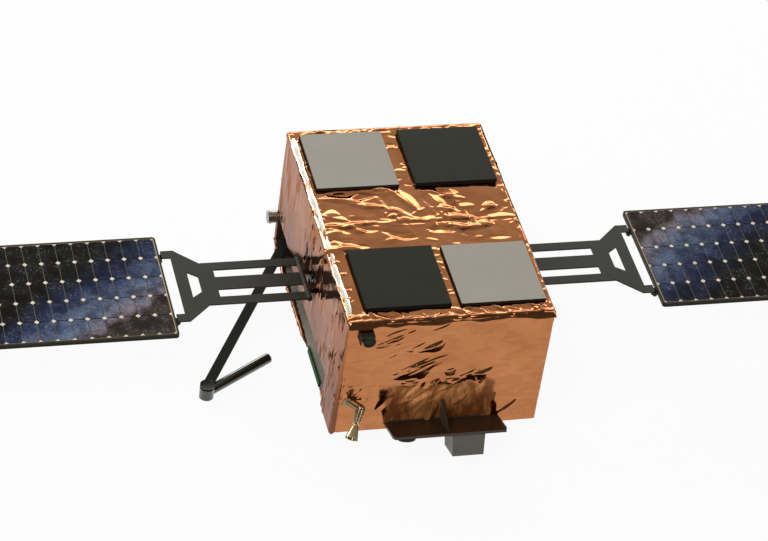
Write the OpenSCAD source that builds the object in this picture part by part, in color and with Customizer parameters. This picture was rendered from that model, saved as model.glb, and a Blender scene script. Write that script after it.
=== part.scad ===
// Small box-shaped satellite: foil-covered body on a launch ring, two folding
// solar wings, a folding side boom, a thruster, a sensor shelf and four flat antennas.
// Millimetres, +Z up. X runs along the wings, the sensor shelf is on the -Y side.
// The origin is the centre of the launch ring's bottom face.

/* [Body] */
// Width of the body along the wings, over the foil blankets
body_w = 504; // [440:1:640]
// Depth of the body, front to back, over the blankets
body_d = 734; // [700:1:900]
// Height of the body over the blankets
body_h = 345; // [330:1:460]
// Thickness of a sandwich panel of the body
panel_t = 12; // [8:1:16]
// Thickness of an insulation blanket
blanket_t = 6; // [5:1:8]
// Gap between a blanket's cut-out and what passes through it
cutout_gap = 1; // [0.5:0.1:2]

/* [Launch ring] */
// Free height between the ring's bottom face and the body
ring_h = 60; // [45:1:90]
// Bolt circle diameter of the ring
ring_pcd = 381; // [330:1:400]
// Bolts on the circle
ring_bolts = 24; // [12:1:36]
// Diameter of a bolt hole
ring_bolt_d = 6.6; // [5.5:0.1:9]
// Width of the ring's flanges
ring_flange_w = 26; // [20:1:30]
// Thickness of the flanges
ring_flange_t = 7; // [5:1:10]
// Thickness of the ring's web
ring_web_t = 5; // [3:0.5:8]

/* [Wings] */
// Height of the wing plane above the body's bottom
wing_h = 175; // [140:1:200]
// Solar cell columns on a panel
cell_cols = 11; // [6:1:12]
// Solar cell rows on a panel
cell_rows = 5; // [3:1:5]
// Column pitch of the cells
cell_pitch_x = 40.5; // [38:0.1:42]
// Row pitch of the cells
cell_pitch_y = 69.9; // [60:0.1:72]
// Bare border round the cells
panel_border = 7; // [6:0.5:12]
// Thickness of a solar panel
wing_t = 10; // [8:1:12]
// Corner radius of a solar panel
wing_corner_r = 8; // [3:0.5:12]
// Depth of the pocket that the cells lie in
cell_pocket = 0.8; // [0.5:0.1:1.5]
// Gap between two parts of a wing at a hinge
hinge_gap = 5; // [5:0.5:8]
// Distance of the folding pins from the wing plane
pin_offset = 12; // [11:0.5:16]
// Diameter of a folding pin
pin_d = 5; // [4:0.5:6]
// Outer diameter of a hinge barrel
barrel_d = 11; // [9:0.5:12]
// Distance of the folding hinges from the wing's middle line
hinge_y = 117; // [100:1:125]

/* [Yokes] */
// Distance from the body's side to the yoke's root pin
root_reach = 16; // [14:1:24]
// Distance from the root pin to the first folding hinge
yoke_reach = 337; // [300:1:345]
// Thickness of the yoke plate
yoke_t = 4; // [3:0.5:6]
// Width of a yoke's outer bar
outer_bar_w = 27; // [20:1:28]
// Width of a yoke's middle bar
middle_bar_w = 45; // [30:1:46]
// Half-width of the yoke over its bars
trunk_half = 77; // [74:1:84]
// Half-width of the yoke at the panel
fork_half = 130; // [126:1:140]
// Diameter of the root pin
root_pin_d = 6; // [5:0.5:8]

/* [Top antennas] */
// Width of an antenna plate
plate_w = 208; // [180:1:214]
// Length of an antenna plate
plate_l = 213; // [180:1:216]
// Thickness of a light plate
light_plate_t = 8; // [6:1:12]
// Thickness of a dark plate
dark_plate_t = 11; // [8:1:14]
// Diameter of a plate's foot
foot_d = 12; // [8:1:16]

/* [Boom] */
// Distance between the boom bar's two pivots
boom_len = 608; // [520:1:608]
// Angle between the bar and the body's side
boom_angle = 30; // [15:1:60]
// Width of the boom bar
boom_w = 25; // [18:1:27]
// Thickness of the boom bar
boom_t = 5; // [4:0.5:6]
// Height of the bar above the body's bottom
boom_h = 38; // [36:0.5:39]
// Length of the rod from its pivot to its tip
rod_len = 203; // [140:1:230]
// Diameter of the rod
rod_d = 26; // [20:1:27]
// Angle between the rod and the bar
rod_angle = 28.3; // [15:0.1:60]
// Gap between the rod and the bar that it folds under
rod_gap = 5; // [5:0.5:6]
// Diameter of the boom's pivot pins
boom_pin_d = 10; // [8:0.5:12]

/* [Boom bay] */
// Length of the bay behind the body's left side
bay_len = 585; // [560:1:610]
// Depth of the bay
bay_depth = 55; // [50:1:70]
// Height of the long front part of the bay
bay_h = 59; // [56:1:64]
// Height of the bay at the boom's root
bay_root_h = 77; // [72:1:84]
// Length of the bay's high part
bay_root_len = 122; // [110:1:160]
// Wall of the bay's liner
bay_wall = 2; // [1.5:0.5:3]

/* [Sensor shelf] */
// Width of the shelf
shelf_w = 284; // [240:1:300]
// Reach of the shelf, along its slope
shelf_reach = 94; // [80:1:110]
// Upward tilt of the shelf
shelf_tilt = 20; // [0:1:25]
// Thickness of the shelf
shelf_t = 7; // [5:0.5:10]
// Height of the shelf's root above the body's bottom
shelf_h = 13; // [12:1:26]
// Sideways place of the shelf
shelf_x = 12; // [0:1:30]
// Width of the camera box at the shelf
camera_w = 82; // [60:1:100]
// Height of the camera box
camera_h = 55; // [40:1:60]
// Diameter of the round sensor under the shelf
puck_d = 46; // [36:1:50]

/* [Thruster] */
// Outer diameter of the thruster's pipe
pipe_d = 20; // [16:0.5:22]
// Diameter of the nozzle's mouth
nozzle_d = 33; // [28:0.5:38]
// Length of the neck between the pipe's elbow and the nozzle
neck_l = 36; // [34:1:50]
// Length of the nozzle
nozzle_l = 41; // [34:1:50]
// Inner diameter of the nozzle's throat
throat_d = 9; // [6:0.5:10]
// Distance of the pipe's root from the body's left side
pipe_inset = 24; // [22:1:40]
// Height of the pipe's root above the body's bottom
pipe_h = 100; // [95:1:125]
// Distance that the pipe stands out from the front
pipe_reach = 28; // [24:1:34]

/* [Sun sensor] */
// Diameter of the sun sensor
sun_d = 31; // [24:1:36]
// Distance of the sun sensor from the body's left side
sun_inset = 52; // [46:1:80]
// Distance of the sun sensor below the body's top
sun_drop = 51; // [48:1:80]
// Width of the hood over the sensor
hood_w = 34; // [30:1:44]
// Reach of the hood from the front
hood_reach = 16; // [12:1:24]

/* [Small fittings] */
// Diameter of the rear canister
canister_d = 32; // [24:1:36]
// Length of the rear canister
canister_l = 84; // [70:1:100]
// Length of the side board
board_l = 130; // [60:1:140]
// Height of the side board
board_h = 18; // [8:1:20]

/* [Hidden] */
eps = 0.01;
// Radial clearance of a pin, and the clearance at the end of a barrel
fit_gap = 0.05;
side_gap = 0.3;
// How far a cutter runs past what it cuts
past = 60;
$fn = 64;

PLATES = [
    // name, centre x, centre y, dark
    ["antenna_rear_left", -122, 233, false],
    ["antenna_rear_right", 128, 231, true],
    ["antenna_front_left", -100, -218, true],
    ["antenna_front_right", 133, -218, false]
];
SIDES = [["left", -1], ["right", 1]];

// Body levels
body_z = ring_h;
top_z = body_z + body_h;
wing_z = body_z + wing_h;
// Structure box inside the blankets
box_w = body_w - 2 * blanket_t;
box_d = body_d - 2 * blanket_t;
box_z = body_z + blanket_t;
box_h = body_h - 2 * blanket_t;
wall_h = box_h - 2 * panel_t;
// Boom bay, measured inside its liner
bay_y1 = box_d / 2 - panel_t - bay_wall;
bay_y0 = bay_y1 - bay_len;
bay_z0 = box_z + bay_wall;
bay_x1 = -body_w / 2 + bay_depth;
// Boom pivots and levels
bar_z = body_z + boom_h;
eye_d = boom_w + 3;
boom_inset_x = 20;
boom_inset_y = 34;
boom_x = -body_w / 2 + boom_inset_x;
boom_y = bay_y1 - boom_inset_y;
hub_d = rod_d + 10;
cap_t = 2;
rod_z = bar_z - boom_t / 2 - rod_gap - rod_d / 2;
// Wing stations, from the middle of the body
root_x = body_w / 2 + root_reach;
fold_x = root_x + yoke_reach;
panel_x = fold_x + hinge_gap / 2;
wing_l = cell_cols * cell_pitch_x + 2 * panel_border;
wing_w = cell_rows * cell_pitch_y + 2 * panel_border;
mid_x = panel_x + wing_l + hinge_gap / 2;
outer_x = mid_x + hinge_gap / 2;
ear_w = 10;
ear_l = panel_border;
knuckle_d = root_pin_d + 8;
knuckle_gap = 1;
slot_w = trunk_half - outer_bar_w - middle_bar_w / 2;
// Thruster stations on the front face. The pipe runs 24 inwards and 1 up to its elbow.
pipe_root = [-body_w / 2 + pipe_inset, -body_d / 2 + blanket_t, body_z + pipe_h];
pipe_elbow = [pipe_root[0] + 24, -body_d / 2 - pipe_reach, pipe_root[2] + 1];
pipe_flange_d = pipe_d + 8;
nozzle_pitch = 49;
nozzle_lean = 37.5;
// Sun sensor and its hood
sun_x = -body_w / 2 + sun_inset;
sun_z = top_z - sun_drop;
hood_t = 5;
hood_x = sun_x - 24;
hood_z = sun_z + sun_d / 2 + 4;
// Sensor shelf: its root's lower edge, its mounting rail and its fin
shelf_z = body_z + shelf_h;
shelf_y = -body_d / 2 + blanket_t;
rail_low = 2;
rail_high = 14;
rail_half = shelf_w / 2 - 10;
fin_t = 4;
fin_x = shelf_x - 6;
fin_h = 74;
// Rear canister: its middle and its block
canister_x = -body_w / 2 + 24;
canister_z = body_z + 53;
canister_block = [-body_w / 2 + 12, -body_w / 2 + 42];
canister_block_h = 20;

// Box from its lowest corner to its highest
module block(a, b) {
    translate(a) cube(b - a);
}

// Cylinder along Y
module rod_y(d, y0, y1) {
    translate([0, y0, 0]) rotate([-90, 0, 0]) cylinder(d = d, h = y1 - y0);
}

// Flat outline with round corners
module round_rect(w, l, r) {
    offset(r = r) square([w - 2 * r, l - 2 * r], center = true);
}

// Places its children on one side, +1 or -1, of the body
module side(s) {
    if (s > 0) children();
    else mirror([1, 0, 0]) children();
}

// ---- launch ring ----
module adapter_ring() {
    total = ring_h + blanket_t;
    r = ring_pcd / 2;
    half = ring_flange_w / 2;
    color("silver") difference() {
        rotate_extrude($fn = 128) {
            translate([r - half, 0]) square([ring_flange_w, ring_flange_t]);
            translate([r - half, 0]) square([ring_web_t, total]);
            translate([r - half, total - ring_flange_t]) square([ring_flange_w, ring_flange_t]);
        }
        for (i = [0:ring_bolts - 1])
            rotate(i * 360 / ring_bolts) translate([r, 0, -eps])
                cylinder(d = ring_bolt_d, h = total + 2 * eps, $fn = 32);
    }
}

// ---- structure ----
// Space that the bay's liner takes, from inside the body to its side
module bay_space(grow) {
    x0 = -body_w / 2 - 1;
    x1 = bay_x1 + grow;
    block([x0, bay_y0 - grow, bay_z0 - grow], [x1, bay_y1 + grow, bay_z0 + bay_h + grow]);
    block([x0, bay_y1 - bay_root_len - grow, bay_z0 - grow],
          [x1, bay_y1 + grow, bay_z0 + bay_root_h + grow]);
}

module bottom_panel() {
    color("silver") difference() {
        block([-box_w / 2, -box_d / 2, box_z], [box_w / 2, box_d / 2, box_z + panel_t]);
        bay_space(bay_wall);
    }
}

module top_panel() {
    z1 = top_z - blanket_t;
    color("silver")
        block([-box_w / 2, -box_d / 2, z1 - panel_t], [box_w / 2, box_d / 2, z1]);
}

module end_panel(y0) {
    half = box_w / 2 - panel_t;
    color("silver")
        block([-half, y0, box_z + panel_t], [half, y0 + panel_t, box_z + box_h - panel_t]);
}

module front_panel() end_panel(-box_d / 2);
module back_panel() end_panel(box_d / 2 - panel_t);

module side_panel() {
    block([box_w / 2 - panel_t, -box_d / 2, box_z + panel_t],
          [box_w / 2, box_d / 2, box_z + box_h - panel_t]);
}

module left_panel() {
    color("silver") difference() {
        side(-1) side_panel();
        bay_space(bay_wall);
    }
}

module right_panel() {
    color("silver") side_panel();
}

// Batteries, tank and electronics as one plain mass
module equipment_block() {
    half_w = 150;
    half_d = 200;
    height = 150;
    z0 = box_z + panel_t;
    color("dimgray") block([-half_w, -half_d, z0], [half_w, half_d, z0 + height]);
}

// ---- blankets ----
module bottom_blanket() {
    color("peru") difference() {
        block([-body_w / 2, -body_d / 2, body_z], [body_w / 2, body_d / 2, body_z + blanket_t]);
        translate([0, 0, body_z - eps])
            cylinder(d = ring_pcd + ring_flange_w + 2 * cutout_gap, h = blanket_t + 2 * eps,
                     $fn = 128);
    }
}

module top_blanket() {
    color("peru") difference() {
        block([-body_w / 2, -body_d / 2, top_z - blanket_t], [body_w / 2, body_d / 2, top_z]);
        for (p = PLATES)
            feet(p, foot_d + 2 * cutout_gap, top_z - blanket_t - eps, top_z + eps);
    }
}

module front_blanket() {
    y0 = -body_d / 2;
    color("peru") difference() {
        block([-box_w / 2, y0, box_z], [box_w / 2, y0 + blanket_t, box_z + box_h]);
        translate([pipe_root[0], 0, pipe_root[2]])
            rod_y(pipe_flange_d + 2 * cutout_gap, y0 - eps, y0 + blanket_t + eps);
        translate([sun_x, 0, sun_z])
            rod_y(sun_d + 2 * cutout_gap, y0 - eps, y0 + blanket_t + eps);
        shelf_foot(cutout_gap, 1);
        fin_foot(cutout_gap, 1);
        hood_foot(cutout_gap, 1);
    }
}

module back_blanket() {
    y1 = body_d / 2;
    color("peru") difference() {
        block([-box_w / 2, y1 - blanket_t, box_z], [box_w / 2, y1, box_z + box_h]);
        canister_foot(cutout_gap, 1);
    }
}

module side_blanket() {
    x1 = body_w / 2;
    difference() {
        block([x1 - blanket_t, -body_d / 2, box_z], [x1, body_d / 2, box_z + box_h]);
        root_foot(cutout_gap, 1);
    }
}

module left_blanket() {
    color("peru") difference() {
        side(-1) side_blanket();
        bay_space(bay_wall);
    }
}

module right_blanket() {
    color("peru") side_blanket();
}

// ---- top antennas ----
module feet(p, d, z0, z1) {
    inset = 30;
    for (sx = [-1, 1], sy = [-1, 1])
        translate([p[1] + sx * (plate_w / 2 - inset), p[2] + sy * (plate_l / 2 - inset), z0])
            cylinder(d = d, h = z1 - z0, $fn = 32);
}

module antenna(p) {
    t = p[3] ? dark_plate_t : light_plate_t;
    color(p[3] ? "darkslategray" : "darkgray") union() {
        translate([p[1], p[2], top_z]) linear_extrude(t)
            square([plate_w, plate_l], center = true);
        feet(p, foot_d, top_z - blanket_t, top_z + eps);
    }
}

// ---- sun sensor ----
module sun_sensor() {
    reach = 9;
    rim = 3;
    y0 = -body_d / 2 - reach;
    color("dimgray") translate([sun_x, 0, sun_z]) difference() {
        rod_y(sun_d, y0, -body_d / 2 + blanket_t);
        rod_y(sun_d - 2 * rim, y0 - eps, y0 + rim);
    }
}

module hood_foot(grow, through) {
    block([hood_x - grow, -body_d / 2 - through, hood_z - grow],
          [hood_x + hood_w + grow, -body_d / 2 + blanket_t + (through > 0 ? eps : 0),
           hood_z + hood_t + grow]);
}

module sensor_hood() {
    wall = 3;
    drop = 20;
    y0 = -body_d / 2 - hood_reach;
    color("dimgray") union() {
        hood_foot(0, 0);
        block([hood_x, y0, hood_z], [hood_x + hood_w, -body_d / 2 + eps, hood_z + hood_t]);
        block([hood_x, y0, hood_z - drop], [hood_x + wall, -body_d / 2 - 1, hood_z + eps]);
    }
}

// ---- thruster ----
// Local frame of the neck: origin at the elbow, -Z towards the nozzle's mouth
module neck_frame() {
    translate(pipe_elbow) rotate([-nozzle_pitch, nozzle_lean, 0]) children();
}

module thruster_pipe() {
    run = pipe_elbow - pipe_root;
    flat = norm([run[0], run[1]]);
    // Distance below the elbow and outer diameter of each ring
    rings = [[13, pipe_d + 3], [21, pipe_d + 1.5], [29, pipe_d - 1]];
    ring_w = 4;
    flange_y = -body_d / 2 - 2;
    color("goldenrod") {
        translate([pipe_root[0], 0, pipe_root[2]])
            rod_y(pipe_flange_d, flange_y, pipe_root[1]);
        difference() {
            union() {
                translate(pipe_root)
                    rotate([0, 90 - atan2(run[2], flat), atan2(run[1], run[0])])
                        cylinder(d = pipe_d, h = norm(run));
                translate(pipe_elbow) sphere(d = pipe_d + 1.6);
                neck_frame() {
                    translate([0, 0, -neck_l]) cylinder(d = throat_d + 6, h = neck_l);
                    translate([0, 0, -rings[0][0]]) cylinder(d = pipe_d, h = rings[0][0]);
                    translate([0, 0, -rings[2][0]]) cylinder(d = pipe_d - 3, h = rings[2][0]);
                    for (r = rings)
                        translate([0, 0, -r[0] - ring_w / 2]) cylinder(d = r[1], h = ring_w);
                }
            }
            neck_frame() translate([0, 0, -neck_l - eps]) cylinder(d = throat_d, h = neck_l / 2);
            block([pipe_root[0] - past, flange_y + 1, pipe_root[2] - past],
                  [pipe_root[0] + past, pipe_root[1] + past, pipe_root[2] + past]);
        }
    }
}

module thruster_nozzle() {
    wall = 1.8;
    collar_l = 5;
    collar_w = 4.5;
    r0 = throat_d / 2;
    r1 = nozzle_d / 2;
    z1 = -neck_l;
    color("goldenrod") neck_frame() rotate_extrude() polygon([
        [r0, z1], [r0 + collar_w, z1], [r0 + collar_w, z1 - collar_l * 0.7],
        [r0 + wall, z1 - collar_l], [r1, z1 - nozzle_l], [r1 - wall, z1 - nozzle_l],
        [r0, z1 - collar_l]
    ]);
}

// ---- sensor shelf ----
// Height of the shelf's upper face at a distance y
function shelf_top(y) = shelf_z + shelf_t / cos(shelf_tilt) + (shelf_y - y) * tan(shelf_tilt);

// Local frame of the shelf: origin at its root's lower edge, -Y outwards along its slope
module shelf_frame() {
    translate([shelf_x, shelf_y, shelf_z]) rotate([-shelf_tilt, 0, 0]) children();
}

// Rail through the blanket that carries the shelf
module shelf_foot(grow, through) {
    block([shelf_x - rail_half - grow, -body_d / 2 - through, shelf_z - rail_low - grow],
          [shelf_x + rail_half + grow, shelf_y + (through > 0 ? eps : 0),
           shelf_z + rail_high + grow]);
}

module sensor_shelf() {
    chamfer = 12;
    half = shelf_w / 2;
    tail = 10;
    reach = shelf_reach + blanket_t;
    color("darkslategray") union() {
        shelf_foot(0, 0);
        difference() {
            shelf_frame() linear_extrude(shelf_t) polygon([
                [-half, tail], [half, tail], [half, -reach + chamfer],
                [half - chamfer / 3, -reach], [-half + chamfer / 3, -reach],
                [-half, -reach + chamfer]
            ]);
            block([shelf_x - half - 1, -body_d / 2, shelf_z - past],
                  [shelf_x + half + 1, shelf_y + past, shelf_z + past]);
        }
    }
}

// Tab through the blanket that carries the fin
module fin_foot(grow, through) {
    block([fin_x - grow, -body_d / 2 - through, shelf_z + rail_high],
          [fin_x + fin_t + grow, shelf_y + (through > 0 ? eps : 0), shelf_z + fin_h + grow]);
}

module shelf_fin() {
    tip_inset = 8;
    tip_h = 3;
    y0 = -body_d / 2;
    y1 = y0 - shelf_reach * cos(shelf_tilt) + tip_inset;
    color("darkslategray") union() {
        translate([fin_x + fin_t, 0, 0]) rotate([90, 0, -90]) linear_extrude(fin_t)
            polygon([
                [-y0, shelf_top(y0)], [-y1, shelf_top(y1)], [-y1, shelf_top(y1) + tip_h],
                [-y0, shelf_z + fin_h]
            ]);
        fin_foot(0, 0);
    }
}

module camera_box() {
    x0 = 4;
    lean = 2.5;
    back = -26;
    front = -shelf_reach - blanket_t + 3;
    color("gray") shelf_frame() translate([x0, front, 0]) rotate([-90, 0, 0])
        linear_extrude(back - front) polygon([
            [0, 0], [camera_w, 0], [camera_w - lean, camera_h], [lean, camera_h]
        ]);
}

module round_sensor() {
    height = 10;
    inset_x = 38;
    inset_y = puck_d / 2 + 4;
    color("black") shelf_frame()
        translate([-shelf_w / 2 + inset_x, -shelf_reach - blanket_t + inset_y, -height])
            cylinder(d = puck_d, h = height);
}

// ---- side board ----
module side_board() {
    t = 4;
    y0 = -205;
    color("darkgreen")
        block([-body_w / 2 - t, y0, body_z], [-body_w / 2, y0 + board_l, body_z + board_h]);
}

// ---- rear canister ----
module canister_foot(grow, through) {
    half = canister_block_h / 2 + grow;
    block([canister_block[0] - grow, body_d / 2 - blanket_t - (through > 0 ? eps : 0),
           canister_z - half],
          [canister_block[1] + grow, body_d / 2 + through, canister_z + half]);
}

module rear_canister() {
    lid = [3, 5, 3]; // distance from the end, length, how much wider than the can
    half = canister_block_h / 2;
    x0 = canister_x - canister_l / 2;
    y = body_d / 2 + canister_d / 2 + 2;
    color("lightgray") union() {
        canister_foot(0, 0);
        block([canister_block[0], body_d / 2 - eps, canister_z - half],
              [canister_block[1], y, canister_z + half]);
        translate([x0, y, canister_z]) rotate([0, 90, 0]) cylinder(d = canister_d, h = canister_l);
        translate([x0 + lid[0], y, canister_z]) rotate([0, 90, 0])
            cylinder(d = canister_d + lid[2], h = lid[1]);
    }
}

// ---- boom ----
module boom_bay() {
    color("gray") difference() {
        intersection() {
            bay_space(bay_wall);
            block([-body_w / 2, -body_d / 2, box_z], [bay_x1 + bay_wall, body_d / 2, top_z]);
        }
        bay_space(0);
    }
}

module boom_bracket() {
    lug_t = 6;
    lug_w = 24;
    base_t = 6;
    base_half = 18;
    base_rim = 8;
    gap = boom_t / 2 + side_gap;
    low = bar_z - gap - lug_t;
    high = bar_z + gap + lug_t;
    color("dimgray") union() {
        block([bay_x1 - base_t, boom_y - base_half, low - base_rim],
              [bay_x1, boom_y + base_half, high + base_rim]);
        for (z = [low, high - lug_t]) {
            block([boom_x, boom_y - lug_w / 2, z],
                  [bay_x1 - base_t + eps, boom_y + lug_w / 2, z + lug_t]);
            translate([boom_x, boom_y, z]) cylinder(d = lug_w, h = lug_t);
        }
        translate([boom_x, boom_y, low]) cylinder(d = boom_pin_d, h = high - low);
    }
}

// Local frame of the bar: origin at its root pivot, -Y towards the elbow
module bar_frame() {
    translate([boom_x, boom_y, bar_z]) rotate(-boom_angle) children();
}

module boom_bar() {
    color("dimgray") bar_frame() difference() {
        union() {
            translate([-boom_w / 2, -boom_len, -boom_t / 2]) cube([boom_w, boom_len, boom_t]);
            for (y = [0, -boom_len])
                translate([0, y, -boom_t / 2]) cylinder(d = eye_d, h = boom_t);
        }
        for (y = [0, -boom_len])
            translate([0, y, -boom_t]) cylinder(d = boom_pin_d + 2 * fit_gap, h = 2 * boom_t);
    }
}

// Local frame of the rod: origin at the elbow on the bar's level, +X along the rod
module rod_frame() {
    bar_frame() translate([0, -boom_len, 0]) rotate(90 - rod_angle) children();
}

module boom_rod() {
    hub_top = -boom_t / 2 - side_gap;
    hub_low = rod_z - bar_z - rod_d / 2;
    cap_z = boom_t / 2 + side_gap;
    color("dimgray") rod_frame() union() {
        translate([0, 0, hub_low]) cylinder(d = hub_d, h = hub_top - hub_low);
        translate([0, 0, hub_low]) cylinder(d = boom_pin_d, h = cap_z + cap_t - hub_low);
        translate([0, 0, cap_z]) cylinder(d = hub_d, h = cap_t);
        translate([0, 0, rod_z - bar_z]) rotate([0, 90, 0]) cylinder(d = rod_d, h = rod_len);
    }
}

// ---- wings ----
// Base of a root bracket, which stands between the yoke's outer bars
module root_foot(grow, through) {
    half_y = middle_bar_w / 2 + slot_w - knuckle_gap + grow;
    half_z = 9 + grow;
    block([body_w / 2 - blanket_t - (through > 0 ? eps : 0), -half_y, wing_z - half_z],
          [body_w / 2 + through, half_y, wing_z + half_z]);
}

module root_bracket() {
    lug_w = slot_w - 2 * knuckle_gap;
    lug_y = (middle_bar_w + slot_w) / 2;
    union() {
        root_foot(0, 0);
        for (s = [-1, 1]) {
            y0 = s * lug_y - lug_w / 2;
            translate([root_x, 0, wing_z]) rod_y(knuckle_d, y0, y0 + lug_w);
            block([body_w / 2 - eps, y0, wing_z - knuckle_d / 2],
                  [root_x, y0 + lug_w, wing_z + knuckle_d / 2]);
        }
        translate([root_x, 0, wing_z]) rod_y(root_pin_d, -trunk_half, trunk_half);
    }
}

module left_root_bracket() {
    color("dimgray") side(-1) root_bracket();
}

module right_root_bracket() {
    color("dimgray") root_bracket();
}

// Yoke outline from above, x from the root pin outwards. The lengths are distances from
// the folding pins.
module yoke_outline() {
    shoulder = yoke_reach - 89;
    flare = yoke_reach - 33;
    tip = yoke_reach - hinge_gap / 2;
    window_in = yoke_reach - 24;
    window_half = hinge_y - ear_w - 3;
    slot_end = yoke_reach - 120;
    // Trapezoid hole: ends and half-widths there
    eye_in = [yoke_reach - 79, 28];
    eye_out = [yoke_reach - 54, 47];
    difference() {
        polygon([
            [0, -trunk_half], [shoulder, -trunk_half], [flare, -fork_half], [tip, -fork_half],
            [tip, fork_half], [flare, fork_half], [shoulder, trunk_half], [0, trunk_half]
        ]);
        for (s = [-1, 1])
            translate([-1, s * (middle_bar_w + slot_w) / 2 - slot_w / 2])
                square([slot_end + 1, slot_w]);
        translate([window_in, -window_half]) square([past, 2 * window_half]);
        polygon([[eye_in[0], -eye_in[1]], [eye_out[0], -eye_out[1]],
                 [eye_out[0], eye_out[1]], [eye_in[0], eye_in[1]]]);
    }
}

module yoke() {
    bars = [[-trunk_half, outer_bar_w], [-middle_bar_w / 2, middle_bar_w],
            [trunk_half - outer_bar_w, outer_bar_w]];
    difference() {
        union() {
            translate([root_x, 0, wing_z - yoke_t / 2]) linear_extrude(yoke_t) yoke_outline();
            for (b = bars)
                translate([root_x, 0, wing_z]) rod_y(knuckle_d, b[0], b[0] + b[1]);
            for (s = [-1, 1])
                translate([0, s * hinge_y, wing_z]) hinge_ear(fold_x, -1, -1, s, yoke_t / 2);
        }
        translate([root_x, 0, wing_z])
            rod_y(root_pin_d + 2 * fit_gap, -trunk_half - 1, trunk_half + 1);
    }
    for (s = [-1, 1])
        translate([fold_x, s * hinge_y, wing_z - pin_offset])
            rod_y(pin_d, -ear_w - side_gap, ear_w + side_gap);
}

// One ear of a folding hinge. towards: -1 reaches inboard, +1 outboard. up: side of the
// wing plane. half: -1 or +1, the half of the pin that the ear sits on. skin: half of
// the plate's thickness.
module hinge_ear(x, towards, up, half, skin) {
    web_half = 3;
    y0 = half > 0 ? side_gap : -ear_w - side_gap;
    inner = x + towards * hinge_gap / 2;
    outer = x + towards * (hinge_gap / 2 + ear_l);
    z0 = min(up * pin_offset, up * (skin - eps));
    z1 = max(up * pin_offset, up * (skin - eps));
    block([min(inner, outer), y0, z0], [max(inner, outer), y0 + ear_w, z1]);
    block([min(x, inner), y0, up * pin_offset - web_half],
          [max(x, inner) + eps, y0 + ear_w, up * pin_offset + web_half]);
    translate([x, 0, up * pin_offset]) rod_y(barrel_d, y0, y0 + ear_w);
}

// Solar panel with its cell pocket, x from its inboard edge
module panel_plate(x0) {
    translate([x0 + wing_l / 2, 0, wing_z - wing_t / 2]) difference() {
        linear_extrude(wing_t) round_rect(wing_l, wing_w, wing_corner_r);
        translate([0, 0, wing_t - cell_pocket]) linear_extrude(cell_pocket + 1)
            square([cell_cols * cell_pitch_x, cell_rows * cell_pitch_y], center = true);
    }
}

module inner_panel() {
    difference() {
        union() {
            panel_plate(panel_x);
            for (s = [-1, 1])
                translate([0, s * hinge_y, wing_z]) {
                    hinge_ear(fold_x, 1, -1, -s, wing_t / 2);
                    hinge_ear(mid_x, -1, 1, s, wing_t / 2);
                }
        }
        for (s = [-1, 1])
            translate([fold_x, s * hinge_y, wing_z - pin_offset])
                rod_y(pin_d + 2 * fit_gap, -ear_w - 1, ear_w + 1);
    }
    for (s = [-1, 1])
        translate([mid_x, s * hinge_y, wing_z + pin_offset])
            rod_y(pin_d, -ear_w - side_gap, ear_w + side_gap);
}

module outer_panel() {
    difference() {
        union() {
            panel_plate(outer_x);
            for (s = [-1, 1])
                translate([0, s * hinge_y, wing_z]) hinge_ear(mid_x, 1, 1, -s, wing_t / 2);
        }
        for (s = [-1, 1])
            translate([mid_x, s * hinge_y, wing_z + pin_offset])
                rod_y(pin_d + 2 * fit_gap, -ear_w - 1, ear_w + 1);
    }
}

adapter_ring();
bottom_panel();
top_panel();
front_panel();
back_panel();
left_panel();
right_panel();
equipment_block();
bottom_blanket();
top_blanket();
front_blanket();
back_blanket();
left_blanket();
right_blanket();
for (p = PLATES)
    antenna(p);
sun_sensor();
sensor_hood();
thruster_pipe();
thruster_nozzle();
sensor_shelf();
shelf_fin();
camera_box();
round_sensor();
side_board();
rear_canister();
boom_bay();
boom_bracket();
boom_bar();
boom_rod();
left_root_bracket();
right_root_bracket();
for (s = SIDES) {
    color("dimgray") side(s[1]) yoke();
    color("midnightblue") side(s[1]) inner_panel();
    color("midnightblue") side(s[1]) outer_panel();
}
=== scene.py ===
"""Visual model of the small satellite: foil, solar cells and finishes over its fixed frame."""
import math

import bpy
import numpy as np
from bpy.props import FloatProperty, FloatVectorProperty, IntProperty, PointerProperty
from mathutils import Matrix, Vector


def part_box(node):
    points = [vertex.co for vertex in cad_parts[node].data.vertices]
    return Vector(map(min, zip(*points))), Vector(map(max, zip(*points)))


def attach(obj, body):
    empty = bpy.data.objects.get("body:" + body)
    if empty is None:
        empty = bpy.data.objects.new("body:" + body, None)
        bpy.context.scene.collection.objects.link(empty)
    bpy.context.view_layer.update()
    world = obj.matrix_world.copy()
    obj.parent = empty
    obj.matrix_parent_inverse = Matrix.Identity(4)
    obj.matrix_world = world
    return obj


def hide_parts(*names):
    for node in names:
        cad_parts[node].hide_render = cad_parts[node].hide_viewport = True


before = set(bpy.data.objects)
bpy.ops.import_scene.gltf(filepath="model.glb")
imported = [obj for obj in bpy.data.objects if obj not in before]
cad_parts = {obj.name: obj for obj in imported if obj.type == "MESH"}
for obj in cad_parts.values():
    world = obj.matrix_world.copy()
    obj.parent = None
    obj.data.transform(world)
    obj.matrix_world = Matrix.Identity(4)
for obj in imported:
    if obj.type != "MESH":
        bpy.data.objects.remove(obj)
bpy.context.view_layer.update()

bl_info = {
    "name": "Small satellite",
    "version": (1, 0, 0),
    "blender": (4, 5, 0),
    "location": "3D View > Sidebar > Satellite",
    "description": "Foil blankets, solar cells, finishes and studio of a small satellite",
    "category": "Object",
}

SIDES = {"left": -1, "right": 1}
SKINS = ("bottom", "top", "front", "back", "left", "right")

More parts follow.
